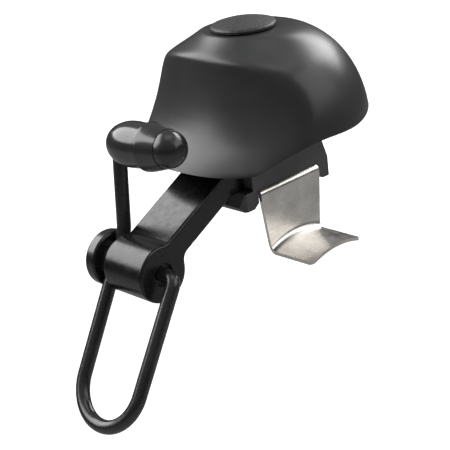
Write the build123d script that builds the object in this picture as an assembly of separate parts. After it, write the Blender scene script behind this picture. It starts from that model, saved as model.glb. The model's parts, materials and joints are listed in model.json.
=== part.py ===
from build123d import *
import math
import os

# Bicycle bell: helmet-shaped dome on a post, a pull-loop striker hinged at the
# end of an arm, and a thin steel clip that slips under a brake-lever clamp.
# Millimetres.  Built around the dome: Z is the dome's axis, Z = 0 is the rim,
# the striker's pivot runs along Y.  Each part is moved at export, so that the
# origin is where the clip's saddle meets the face of its plate.

# ---- where the bell sits on the bar ----------------------------------------
SADDLE_Z = -18.1
PLATE_Y = -7.4
TO_ROW = Pos(0, -PLATE_Y, -SADDLE_Z)

# ---- dome ------------------------------------------------------------------
RIM_R = 19.8
DOME_TOP = 17.9
TOP_FLAT_R = 6.0
WALL = 1.3
BODY_LOW = -1.8
RECESS_R = 4.7
RECESS_FLOOR = 16.9
ROOF_UNDER = 15.6
DOME_HOLE_R = 2.6
CAP_R = 5.5
CAP_LOW = 17.98

# ---- striker pivot and arm -------------------------------------------------
PIVOT_X = -27.97
PIVOT_Z = -15.09
BOSS_R = 4.83
ARM_NEAR = -4.94
ARM_FAR = 4.6
ARM_SLOPE = 30
BAR_THICK = 4.2
BEARING_R = 2.0
SPRING_BORE_R = 3.5
SPRING_BORE_Y = -0.6

# ---- striker ---------------------------------------------------------------
WIRE_R = 1.2
STEM_Y = 6.1
NEAR_LEG_Y = -7.7
LOOP_LEAN = 30.8
LOOP_REACH = 25.95
LOOP_SHIFT = -0.88
HAMMER_X = -24.4
HAMMER_Z = 4.9
HAMMER_TILT = 4
HAMMER_R = 3.8
SEAM = 6.0
BUSH_GAP = 0.05
HUB_IN = 7.17
HUB_OUT = 9.45
SPRING_R = 2.45
SPRING_WIRE = 0.35

# ---- clip and base ---------------------------------------------------------
STRIP = 0.6
FLANGE_TOP = -7.4
STRIP_HALF = 7.1
STRIP_HALF_LOW = 6.1
SADDLE_R = 15.9
LIP_LENGTH = 9.4
EAR_BOTTOM = -10.4
POST_R = 4.0
POST_TOP = 14.6
TONGUE_TOP = -3.6


def ring(outer, inner, low, high):
    """Flat ring or tube about Z."""
    return Pos(0, 0, low) * extrude(Circle(outer) - Circle(inner), high - low)


def y_cylinder(radius, y0, y1, x=PIVOT_X, z=PIVOT_Z):
    """Round bar along Y from y0 to y1."""
    start = Plane(origin=(x, y0, z), x_dir=(1, 0, 0), z_dir=(0, 1, 0))
    return extrude(start * Circle(radius), y1 - y0)


def turned(points):
    """Solid of revolution about Z from an outline of (radius, height)."""
    outline = Polyline(*[(r, 0, z) for r, z in points], close=True)
    return revolve(make_face(outline), Axis.Z)


# ---- dome ------------------------------------------------------------------
def smooth_min(a, b, blend):
    """Smaller of a and b, with the corner between them rounded."""
    h = max(0.0, min(1.0, 0.5 + 0.5 * (b - a) / blend))
    return b + (a - b) * h - blend * h * (1 - h)


def dome_radius(z):
    """Plain round dome: upright skirt, full shoulder, flat crown."""
    u = max(0.0, min(1.0, z / DOME_TOP))
    shoulder = math.sqrt(1 - u**2.1)
    return TOP_FLAT_R + (RIM_R - TOP_FLAT_R) * shoulder


def front_wall(z):
    """Distance of the helmet's hollowed front wall from the axis."""
    upright = 9.74 + 0.122 * (15 - z)
    flare = 5.5 * math.exp(-(z + 1.2) / 5.5) + 1.5 * math.exp(-(z + 1.2) / 1.5)
    return upright + flare


def front_roof(z):
    """Distance of the straighter front slope of the roof from the axis."""
    drop = DOME_TOP - z
    return 6.2 + 1.1 * drop + 0.2 * drop**2


def arc_radius(angle, distance, flatness):
    """Radius at an angle of an arc that crosses the front at a distance."""
    swing = distance + flatness
    return math.sqrt(swing**2 - (flatness * math.sin(angle)) ** 2) - flatness * math.cos(angle)


def dome_point(angle, z, inset):
    """Point of the dome's surface at an angle from the front (-X)."""
    roof = arc_radius(angle, front_roof(z), 3.45)
    r = (dome_radius(z) ** -14 + roof**-14) ** (-1 / 14)
    r = smooth_min(r, arc_radius(angle, front_wall(z), 15.6), 1.3)
    r -= inset
    return (-r * math.cos(angle), r * math.sin(angle))


def dome_section(z, inset, level):
    """Closed outline of the dome at height z, drawn at height level."""
    steps = 60
    outline = []
    for k in range(steps):
        angle = -math.pi + 2 * math.pi * k / steps
        x, y = dome_point(angle, z, inset)
        outline.append((x, y, level))
    even = [k / steps for k in range(steps + 1)]
    return Wire([Edge.make_spline(outline, periodic=True, parameters=even)])


def dome_body(inset, drop):
    """Solid dome, shrunk by inset and lowered by drop."""
    skirt = [BODY_LOW, 0, 1.6, 3.4, 5.4, 7.4, 9.2, 10.8]
    crown = [12.0, 13.0, 13.9, 14.7, 15.4, 16.1, 16.7, 17.15, 17.5, 17.72, 17.85, DOME_TOP]
    heights = skirt + crown
    return Solid.make_loft([dome_section(z, inset, z - drop) for z in heights])


dome = Part() + dome_body(0, 0) - dome_body(WALL, WALL)
dome += ring(6.4, DOME_HOLE_R, ROOF_UNDER, 17.0)
dome -= Pos(0, 0, RECESS_FLOOR) * extrude(Circle(RECESS_R), 3)
dome -= Pos(0, 0, 10) * extrude(Circle(DOME_HOLE_R), 10)

# Rim line from the side: low in front, lifted over both sides and the back.
rim_line = Spline(
    (-23, 0, -1.1),
    (-14, 0, -1.05),
    (-10.4, 0, 0.6),
    (-5, 0, 2.2),
    (5, 0, 2.2),
    (11.5, 0, 2.7),
    (23, 0, 3.0),
    tangents=((1, 0, 0), (1, 0, 0)),
)
below_rim = Polyline((23, 0, 3.0), (23, 0, -9), (-23, 0, -9), (-23, 0, -1.1))
rim_cut = make_face([rim_line, *below_rim.edges()])
dome -= Pos(0, 30, 0) * extrude(rim_cut, 60, dir=(0, -1, 0))

# ---- cap over the dome screw -----------------------------------------------
cap = turned([
    (0, 18.85),
    (3.6, 18.85),
    (3.95, 17.6),
    (3.95, 17.1),
    (4.55, 17.1),
    (4.55, CAP_LOW),
    (CAP_R - 0.15, CAP_LOW),
    (CAP_R, CAP_LOW + 0.15),
    (CAP_R, CAP_LOW + 0.5),
    (CAP_R - 0.25, CAP_LOW + 0.8),
    (CAP_R - 0.25, 20),
    (0, 20),
])
crown_radius = 16.5
cap &= Pos(0, 0, 19.65 - crown_radius) * Sphere(crown_radius)

# ---- dome screw, washer and isolator ---------------------------------------
dome_screw = turned([
    (0, 5.5),
    (1.6, 5.5),
    (1.97, 6.0),
    (1.97, 17.3),
    (3.5, 17.3),
    (3.5, 18.3),
    (3.1, 18.6),
    (0, 18.6),
])
dome_screw -= Pos(0, 0, 18.1) * Box(4.4, 0.8, 1.6)
dome_screw -= Pos(0, 0, 18.1) * Box(0.8, 4.4, 1.6)
dome_washer = ring(3.8, 2.1, RECESS_FLOOR, 17.3)
isolator = ring(5.2, 2.05, POST_TOP, ROOF_UNDER) + ring(2.55, 2.05, ROOF_UNDER, RECESS_FLOOR - 0.05)

# ---- post ------------------------------------------------------------------
post = ring(POST_R, 2.0, TONGUE_TOP, POST_TOP)
post = chamfer(post.edges().filter_by(GeomType.CIRCLE).group_by(Axis.Z)[-1], 0.3)

# ---- arm -------------------------------------------------------------------
slope = math.radians(ARM_SLOPE)
along = (math.cos(slope), math.sin(slope))
across = (-math.sin(slope), math.cos(slope))


def on_arm(s, t):
    """Point (x, z) at s along the bar from the pivot and t above its middle."""
    lift = 1.35
    x = PIVOT_X + s * along[0] + (t + lift) * across[0]
    z = PIVOT_Z + s * along[1] + (t + lift) * across[1]
    return (x, 0, z)


half = BAR_THICK / 2
bar_outline = FilletPolyline(
    on_arm(0, half),
    (-12.9, 0, -3.4),
    (-9.5, 0, -2.9),
    (-9.5, 0, -7.4),
    (-11.3, 0, -7.4),
    on_arm(0, -half),
    radius=(1.5, 0, 0, 3.0),
)
bar_end = Line(on_arm(0, -half), on_arm(0, half))
width = ARM_FAR - ARM_NEAR
bar_face = make_face([*bar_outline.edges(), bar_end])
bar = Pos(0, ARM_FAR, 0) * extrude(bar_face, width, dir=(0, -1, 0))
boss = y_cylinder(BOSS_R, ARM_NEAR, ARM_FAR)
arm = bar + boss
crotch = [e for e in arm.edges().filter_by(Axis.Y) if PIVOT_X + 1 < e.center().X < PIVOT_X + 6.5]
arm = fillet(crotch, 1.8)
tongue = Pos(-2.75, (ARM_NEAR + ARM_FAR) / 2, -5.5) * Box(14.5, width, 3.8)
arm += tongue
long_edges = [
    e
    for e in arm.edges()
    if e.center().X < -13 and abs(abs(e.center().Y - (ARM_NEAR + ARM_FAR) / 2) - width / 2) < 0.01
]
arm = fillet(long_edges, 0.45)
arm -= y_cylinder(BEARING_R, ARM_NEAR - 1, ARM_FAR + 1)
arm -= y_cylinder(SPRING_BORE_R, SPRING_BORE_Y, ARM_FAR + 1)
arm -= Pos(0, 0, -9) * extrude(Circle(2.15), 8)
tang_groove = Pos(PIVOT_X + 3.6, 0.1, PIVOT_Z) * Box(1.4, 1.2, 0.9)
arm -= tang_groove

# ---- base under the dome ---------------------------------------------------
side_outline = Polyline(
    (-7.6, 0, -2.0),
    (-8.6, 0, -2.6),
    (-10.9, 0, -9.6),
    (-10.4, 0, EAR_BOTTOM),
    (-8.4, 0, EAR_BOTTOM),
    (-7.3, 0, -9.6),
    (-7.3, 0, FLANGE_TOP),
    (7.3, 0, FLANGE_TOP),
    (7.3, 0, -9.6),
    (8.4, 0, EAR_BOTTOM),
    (10.4, 0, EAR_BOTTOM),
    (10.9, 0, -9.6),
    (8.6, 0, -2.6),
    (7.6, 0, -2.0),
    close=True,
)
BASE_FRONT = -6.9
BASE_BACK = 7.2
base = Pos(0, BASE_BACK, 0) * extrude(make_face(side_outline), BASE_BACK - BASE_FRONT, dir=(0, -1, 0))
corner_cut = Pos(0, 0, -12) * extrude(Polygon((-14, -8.9), (-8.4, -8.9), (-14, -1.9), align=None), 12)
base -= corner_cut + mirror(corner_cut, about=Plane.YZ)
base += turned([(POST_R, -2.2), (7.6, -2.2), (7.2, -1.2), (5.6, 0.4), (5.6, 4.0), (POST_R, 4.4)])
base -= Pos(0, 0, -9) * extrude(Circle(POST_R), 9)
tongue_pocket = Box(24, width, 3.85, align=(Align.MAX, Align.CENTER, Align.MAX))
base -= Pos(4.5, (ARM_NEAR + ARM_FAR) / 2, TONGUE_TOP) * tongue_pocket
base -= Pos(-9.6, -6.2, -5.0) * Box(2.4, 2.6, 4.4)

# ---- clip: flange, plate and saddle lip from one strip ----------------------
plate_back = PLATE_Y + STRIP
under = FLANGE_TOP - STRIP
fold_outline = Polygon(
    (5.2, under),
    (5.2, FLANGE_TOP),
    (PLATE_Y, FLANGE_TOP),
    (PLATE_Y, SADDLE_Z - 3),
    (plate_back, SADDLE_Z - 3),
    (plate_back, under),
    align=None,
)
fold_outline = fillet(fold_outline.vertices().sort_by_distance((PLATE_Y, FLANGE_TOP))[0], 1.0)
fold_outline = fillet(fold_outline.vertices().sort_by_distance((plate_back, under))[0], 0.4)
plate = extrude(Plane.YZ * fold_outline, STRIP_HALF, both=True)
front_outline = Polygon(
    (-STRIP_HALF, FLANGE_TOP + 1),
    (STRIP_HALF, FLANGE_TOP + 1),
    (STRIP_HALF, FLANGE_TOP - 2),
    (STRIP_HALF_LOW, SADDLE_Z),
    (STRIP_HALF_LOW, SADDLE_Z - 3),
    (-STRIP_HALF_LOW, SADDLE_Z - 3),
    (-STRIP_HALF_LOW, SADDLE_Z),
    (-STRIP_HALF, FLANGE_TOP - 2),
    align=None,
)
front_plane = Plane(origin=(0, 8, 0), x_dir=(1, 0, 0), z_dir=(0, -1, 0))
plate &= extrude(front_plane * front_outline, 20, dir=(0, -1, 0))
bar_axis_z = SADDLE_Z - SADDLE_R
plate -= y_cylinder(SADDLE_R, PLATE_Y - 1, 0, x=0, z=bar_axis_z)
lip_plan = Pos(0, plate_back - LIP_LENGTH / 2 - STRIP / 2) * Rectangle(2 * STRIP_HALF_LOW, LIP_LENGTH + STRIP)
lip_plan = fillet(lip_plan.vertices().group_by(Axis.Y)[0], 1.0)
lip = Pos(0, 0, SADDLE_Z - 3) * extrude(lip_plan, 6)
lip &= y_cylinder(SADDLE_R + STRIP, -30, 0, x=0, z=bar_axis_z)
lip -= y_cylinder(SADDLE_R, -30, 0, x=0, z=bar_axis_z)
clip = plate + lip


def fold_edges(solid, y, z):
    """Edges running across the strip at y, close below or above z."""
    found = []
    for edge in solid.edges():
        box = edge.bounding_box()
        wide = box.max.X - box.min.X > 8
        in_line = abs(box.max.Y - y) < 0.05 and abs(box.min.Y - y) < 0.05
        if wide and in_line and abs(box.max.Z - z) < 0.3:
            found.append(edge)
    return found


clip = fillet(fold_edges(clip, PLATE_Y, SADDLE_Z + STRIP), 1.0)
clip = fillet(fold_edges(clip, plate_back, SADDLE_Z), 1.55)
clip -= Pos(0, 0, -9) * extrude(Circle(2.2), 3)

# ---- bolt that clamps clip, arm and base to the post ------------------------
bolt_washer = ring(4.2, 2.15, under - 0.6, under)
lock_washer = ring(3.6, 2.1, under - 1.5, under - 0.6)
lock_washer -= Pos(2.9, 0, under - 1.05) * Rot(25, 0, 0) * Box(2.4, 0.5, 2.5)
head_top = under - 1.5
clip_bolt = turned([
    (0, 3.0),
    (1.6, 3.0),
    (1.97, 2.5),
    (1.97, head_top),
    (3.5, head_top),
    (3.5, -11.0),
    (3.1, -11.5),
    (0, -11.5),
])
clip_bolt -= Pos(0, 0, -12) * extrude(RegularPolygon(1.5, 6), 2.0)

# ---- pivot bushes ----------------------------------------------------------
BUSH_BORE = WIRE_R + BUSH_GAP
bush_near = y_cylinder(BEARING_R, ARM_NEAR + 0.7, SPRING_BORE_Y) - y_cylinder(BUSH_BORE, ARM_NEAR, ARM_FAR)
bush_far = y_cylinder(SPRING_BORE_R, 3.5, ARM_FAR) - y_cylinder(BUSH_BORE, ARM_NEAR, ARM_FAR)
tang_window = y_cylinder(3.05, 3, 5) - y_cylinder(1.95, 3, 5)
tang_window &= Pos(PIVOT_X, 4, PIVOT_Z - 2.4) * Box(5.0, 3, 3.6)
bush_far -= tang_window


# ---- striker wire: stem, pivot, near leg, bend, far leg ----------------------
def loop_point(s, y):
    """Point of the loop at distance s from the pivot, on the leg at y."""
    lean = math.radians(LOOP_LEAN)
    return (PIVOT_X + LOOP_SHIFT - s * math.sin(lean), y, PIVOT_Z - s * math.cos(lean))


wire_points = [
    (HAMMER_X, STEM_Y, HAMMER_Z + 0.8),
    (PIVOT_X + 1.85, STEM_Y, PIVOT_Z + 5.2),
    (PIVOT_X, STEM_Y, PIVOT_Z),
    (PIVOT_X, NEAR_LEG_Y, PIVOT_Z),
    loop_point(LOOP_REACH, NEAR_LEG_Y),
    loop_point(LOOP_REACH, STEM_Y),
    loop_point(2.6, STEM_Y),
]
bend = (STEM_Y - NEAR_LEG_Y) / 2 - 0.05
wire_path = FilletPolyline(*wire_points, radius=(4.0, 1.5, 1.7, bend, bend))
wire_start = Plane(origin=wire_points[0], z_dir=wire_path % 0)
striker_wire = sweep(wire_start * Circle(WIRE_R), path=wire_path)

# ---- hammer ----------------------------------------------------------------
hammer_frame = Pos(HAMMER_X, 0, HAMMER_Z) * Rot(90 - HAMMER_TILT, 0, 0)
hammer_curve = Spline(
    (0, 0, -7.4),
    (2.3, 0, -6.7),
    (3.4, 0, -4.8),
    (HAMMER_R, 0, -1.6),
    (3.68, 0, 2.4),
    (3.2, 0, SEAM),
    tangents=((1, 0, 0), (-0.25, 0, 1)),
)
hammer_edges = [hammer_curve, Line((3.2, 0, SEAM), (0, 0, SEAM)), Line((0, 0, SEAM), (0, 0, -7.4))]
hammer = hammer_frame * revolve(make_face(hammer_edges), Axis.Z)
nose_curve = Spline(
    (3.1, 0, SEAM),
    (2.75, 0, SEAM + 1.6),
    (1.6, 0, SEAM + 2.8),
    (0, 0, SEAM + 3.2),
    tangents=((-0.05, 0, 1), (-1, 0, 0)),
)
nose_edges = [nose_curve, Line((0, 0, SEAM + 3.2), (0, 0, SEAM)), Line((0, 0, SEAM), (3.1, 0, SEAM))]
hammer_nose = hammer_frame * revolve(make_face(nose_edges), Axis.Z)
peg = hammer_frame * Pos(0, 0, SEAM - 1.1) * Cylinder(1.2, 2.2)
hammer -= peg
hammer_nose += peg
hammer -= striker_wire

# ---- hub on the far side of the boss ----------------------------------------
hub = y_cylinder(4.8, HUB_IN, HUB_OUT)
hub = fillet(hub.edges().filter_by(GeomType.CIRCLE), 0.45)
hub += y_cylinder(3.3, ARM_FAR + 0.4, HUB_IN)
hub -= striker_wire
thrust_washer = y_cylinder(3.2, ARM_FAR + 0.06, ARM_FAR + 0.4) - y_cylinder(WIRE_R, ARM_FAR, ARM_FAR + 1)
thrust_washer -= striker_wire

# ---- return spring ----------------------------------------------------------
pitch = 0.8
coil = Helix(pitch, pitch * 4, SPRING_R)
coil_start = Plane(origin=coil @ 0, z_dir=coil % 0)
spring = sweep(coil_start * Circle(SPRING_WIRE), path=coil, is_frenet=True)
spring = Pos(PIVOT_X, 3.2, PIVOT_Z) * Rot(90, 0, 0) * spring

parts = {
    "dome": dome,
    "cap": cap,
    "dome_screw": dome_screw,
    "dome_washer": dome_washer,
    "dome_isolator": isolator,
    "post": post,
    "base": base,
    "arm": arm,
    "clip": clip,
    "clip_bolt": clip_bolt,
    "bolt_washer": bolt_washer,
    "lock_washer": lock_washer,
    "pivot_bush_near": bush_near,
    "pivot_bush_far": bush_far,
    "striker_wire": striker_wire,
    "hammer": hammer,
    "hammer_nose": hammer_nose,
    "pivot_hub": hub,
    "thrust_washer": thrust_washer,
    "return_spring": spring,
}

os.makedirs("parts", exist_ok=True)
for node, part in parts.items():
    export_step(TO_ROW * part, f"parts/{node}.step")
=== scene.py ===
import json

import bpy
from mathutils import Matrix, Vector

# Bicycle bell in a pale studio.  Every piece comes from the CAD frame; this
# script adds procedural finishes, the floor, the lights and the camera.
# Metres, in the frame's own axes.

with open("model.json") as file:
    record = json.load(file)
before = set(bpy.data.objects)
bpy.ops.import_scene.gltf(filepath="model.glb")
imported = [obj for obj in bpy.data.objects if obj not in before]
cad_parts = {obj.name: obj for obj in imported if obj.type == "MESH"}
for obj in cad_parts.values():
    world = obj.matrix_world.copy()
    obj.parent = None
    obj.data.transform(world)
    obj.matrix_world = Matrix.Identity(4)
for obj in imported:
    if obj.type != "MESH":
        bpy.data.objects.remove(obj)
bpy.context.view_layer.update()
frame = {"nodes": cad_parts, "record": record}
nodes = frame["nodes"]


# ---- building blocks for finishes --------------------------------------------
def new_material(name):
    """Material with its node tree, shader and object coordinates."""
    material = bpy.data.materials.new(name)
    material.use_nodes = True
    tree = material.node_tree
    shader = tree.nodes["Principled BSDF"]
    coords = tree.nodes.new("ShaderNodeTexCoord")
    return material, tree, shader, coords.outputs["Object"]


def noise(tree, coords, scale, detail, stretch=(1, 1, 1)):
    """Cloudy noise; a stretch along one axis turns it into streaks."""
    mapping = tree.nodes.new("ShaderNodeMapping")
    mapping.inputs["Scale"].default_value = stretch
    tree.links.new(coords, mapping.inputs["Vector"])
    texture = tree.nodes.new("ShaderNodeTexNoise")
    texture.inputs["Scale"].default_value = scale
    texture.inputs["Detail"].default_value = detail
    tree.links.new(mapping.outputs["Vector"], texture.inputs["Vector"])
    return texture.outputs["Fac"]


def tint(tree, factor, dark, light):
    """Colour that runs from dark to light over the middle of the noise."""
    ramp = tree.nodes.new("ShaderNodeValToRGB")
    first, last = ramp.color_ramp.elements
    first.position = 0.35
    first.color = (*dark, 1)
    last.position = 0.65
    last.color = (*light, 1)
    tree.links.new(factor, ramp.inputs["Fac"])
    return ramp.outputs["Color"]


def spread(tree, factor, lowest, highest):
    """Value that runs from lowest to highest over the middle of the noise."""
    remap = tree.nodes.new("ShaderNodeMapRange")
    remap.inputs["From Min"].default_value = 0.3
    remap.inputs["From Max"].default_value = 0.7
    remap.inputs["To Min"].default_value = lowest
    remap.inputs["To Max"].default_value = highest
    tree.links.new(factor, remap.inputs["Value"])
    return remap.outputs["Result"]


def relief(tree, shader, height, depth, strength):
    """Fine unevenness of the surface."""
    bump = tree.nodes.new("ShaderNodeBump")
    bump.inputs["Distance"].default_value = depth
    bump.inputs["Strength"].default_value = strength
    tree.links.new(height, bump.inputs["Height"])
    tree.links.new(bump.outputs["Normal"], shader.inputs["Normal"])


def surface(name, dark, light, rough, grain, depth, strength,
            metallic=0.0, stretch=(1, 1, 1), blotch=120.0, specular=0.5):
    """Blotchy colour, uneven sheen and a fine grain, all procedural."""
    material, tree, shader, coords = new_material(name)
    broad = noise(tree, coords, blotch, 5.0)
    fine = noise(tree, coords, grain, 6.0, stretch)
    tree.links.new(tint(tree, broad, dark, light), shader.inputs["Base Color"])
    tree.links.new(spread(tree, fine, *rough), shader.inputs["Roughness"])
    relief(tree, shader, fine, depth, strength)
    shader.inputs["Metallic"].default_value = metallic
    shader.inputs["Specular IOR Level"].default_value = specular
    return material


# ---- finishes, one for each material slot --------------------------------------
materials = {
    "dome": surface(
        "satin black coat", (0.02, 0.02, 0.0205), (0.026, 0.026, 0.0265),
        rough=(0.31, 0.37), grain=2600, depth=0.00001, strength=0.25, specular=0.36,
    ),
    "cap": surface(
        "stippled plastic", (0.012, 0.012, 0.0125), (0.03, 0.03, 0.031),
        rough=(0.42, 0.6), grain=2300, depth=0.00012, strength=1.0, blotch=1500,
    ),
    "base": surface(
        "moulded plastic", (0.03, 0.03, 0.031), (0.042, 0.042, 0.043),
        rough=(0.42, 0.55), grain=3000, depth=0.00003, strength=0.5,
    ),
    "arm": surface(
        "gloss moulding", (0.004, 0.004, 0.0043), (0.007, 0.007, 0.0075),
        rough=(0.2, 0.3), grain=900, depth=0.00002, strength=0.3, specular=0.4,
    ),
    "wire": surface(
        "coated wire", (0.01, 0.01, 0.0103), (0.017, 0.017, 0.0175),
        rough=(0.2, 0.3), grain=1400, depth=0.00001, strength=0.3,
    ),
    "hammer": surface(
        "gloss paint", (0.014, 0.014, 0.0145), (0.022, 0.022, 0.0225),
        rough=(0.14, 0.2), grain=700, depth=0.00001, strength=0.25,
    ),
    "nose": surface(
        "nylon tip", (0.01, 0.01, 0.0105), (0.015, 0.015, 0.016),
        rough=(0.22, 0.3), grain=1500, depth=0.00002, strength=0.3,
    ),
    "hub": surface(
        "gloss hub", (0.005, 0.005, 0.0053), (0.009, 0.009, 0.0095),
        rough=(0.18, 0.28), grain=900, depth=0.00002, strength=0.3,
    ),
    "clip": surface(
        "brushed strip", (0.60, 0.575, 0.54), (0.76, 0.735, 0.70),
        rough=(0.24, 0.36), grain=500, depth=0.000012, strength=0.5,
        metallic=1.0, stretch=(1, 1, 12), blotch=260,
    ),
    "screw": surface(
        "zinc plate", (0.42, 0.42, 0.43), (0.58, 0.58, 0.6),
        rough=(0.25, 0.42), grain=1500, depth=0.00001, strength=0.4, metallic=1.0,
    ),
    "spring_steel": surface(
        "oiled spring steel", (0.12, 0.12, 0.13), (0.22, 0.22, 0.23),
        rough=(0.3, 0.45), grain=1800, depth=0.00001, strength=0.4, metallic=1.0,
    ),
    "post": surface(
        "turned aluminium", (0.5, 0.5, 0.52), (0.68, 0.68, 0.7),
        rough=(0.2, 0.38), grain=900, depth=0.00001, strength=0.4,
        metallic=1.0, stretch=(1, 1, 14),
    ),
    "rubber": surface(
        "isolator rubber", (0.012, 0.012, 0.012), (0.024, 0.024, 0.024),
        rough=(0.6, 0.8), grain=2500, depth=0.00004, strength=0.6,
    ),
    "bush": surface(
        "black acetal", (0.012, 0.012, 0.0125), (0.02, 0.02, 0.021),
        rough=(0.35, 0.5), grain=2500, depth=0.00002, strength=0.4,
    ),
}
for entry in frame["record"]["subparts"]:
    piece = nodes[entry["node"]]
    piece.data.materials.clear()
    piece.data.materials.append(materials[entry["material_slot"]])

# ---- camera --------------------------------------------------------------------
camera_at = Vector((-0.14793, -0.15130, 0.08911))
camera_right = Vector((0.71672, -0.68769, -0.11572))
camera_up = Vector((0.33900, 0.19857, 0.91959))
camera_back = Vector((-0.60942, -0.69832, 0.37545))
camera_data = bpy.data.cameras.new("photo_camera")
camera_data.sensor_width = 36
camera_data.lens = 106.4
camera_data.clip_start = 0.01
camera = bpy.data.objects.new("photo_camera", camera_data)
bpy.context.scene.collection.objects.link(camera)
turn = Matrix((camera_right, camera_up, camera_back)).transposed().to_4x4()
camera.matrix_world = Matrix.Translation(camera_at) @ turn
bpy.context.scene.camera = camera

# ---- floor ---------------------------------------------------------------------
FLOOR_Z = -0.06
FLOOR_HALF_WIDTH = 0.45
FLOOR_NEAR = -0.6
FLOOR_FAR = 1.6


def floor_sheet():
    """Flat sheet under the bell that runs away from the camera."""
    ahead = Vector((-camera_back.x, -camera_back.y, 0)).normalized()
    side = Vector((ahead.y, -ahead.x, 0))
    corners = []
    for along, across in ((FLOOR_NEAR, -1), (FLOOR_NEAR, 1), (FLOOR_FAR, 1), (FLOOR_FAR, -1)):
        sideways = side * across * FLOOR_HALF_WIDTH
        corners.append(sideways + ahead * along + Vector((0, 0, FLOOR_Z)))
    mesh = bpy.data.meshes.new("floor")
    mesh.from_pydata(corners, [], [(0, 1, 2, 3)])
    sheet = bpy.data.objects.new("floor", mesh)
    bpy.context.scene.collection.objects.link(sheet)
    return sheet


pale = surface(
    "pale floor", (0.80, 0.80, 0.80), (0.84, 0.84, 0.84),
    rough=(0.8, 0.9), grain=300, depth=0.0001, strength=0.1, blotch=20,
)
floor = floor_sheet()
floor.data.materials.append(pale)
floor.visible_glossy = False


# ---- lights --------------------------------------------------------------------
def softbox(name, direction, distance, width, height, watts):
    """Rectangular light that faces the bell from a direction."""
    light = bpy.data.lights.new(name, "AREA")
    light.shape = "RECTANGLE"
    light.size = width
    light.size_y = height
    light.energy = watts
    lamp = bpy.data.objects.new(name, light)
    place = Vector(direction).normalized() * distance
    lamp.location = place
    lamp.rotation_euler = (-place).to_track_quat("-Z", "Y").to_euler()
    bpy.context.scene.collection.objects.link(lamp)


softbox("back_left", (-0.34, 0.70, 0.56), distance=0.9, width=0.9, height=0.6, watts=11)
softbox("right", (0.84, 0.05, 0.50), distance=0.9, width=0.45, height=0.45, watts=6.5)
softbox("front_right", (0.50, -0.75, 0.60), distance=1.0, width=0.9, height=0.7, watts=4)
softbox("overhead", (0.1, -0.1, 1.0), distance=1.0, width=0.6, height=0.6, watts=1.5)

# ---- studio world: light above and below, a dark band round the horizon ----------
SKY_STRENGTH = 0.65
NADIR = (0.66, 0.66, 0.68, 1)
ZENITH = (0.8, 0.82, 0.85, 1)
GREY_BANDS = ((0.34, 0.62), (0.42, 0.06), (0.54, 0.05), (0.7, 0.4))

world = bpy.data.worlds.new("studio")
world.use_nodes = True
sky = world.node_tree
direction = sky.nodes.new("ShaderNodeTexCoord")
split = sky.nodes.new("ShaderNodeSeparateXYZ")
height = sky.nodes.new("ShaderNodeMapRange")
height.inputs["From Min"].default_value = -1
ramp = sky.nodes.new("ShaderNodeValToRGB")
background = sky.nodes["Background"]
background.inputs["Strength"].default_value = SKY_STRENGTH
sky.links.new(direction.outputs["Generated"], split.inputs["Vector"])
sky.links.new(split.outputs["Z"], height.inputs["Value"])
sky.links.new(height.outputs["Result"], ramp.inputs["Fac"])
sky.links.new(ramp.outputs["Color"], background.inputs["Color"])
stops = ramp.color_ramp.elements
stops[0].color = NADIR
stops[1].color = ZENITH
for place, level in GREY_BANDS:
    stop = stops.new(place)
    stop.color = (level, level, level, 1)
bpy.context.scene.world = world
bpy.context.scene.view_settings.view_transform = "Standard"
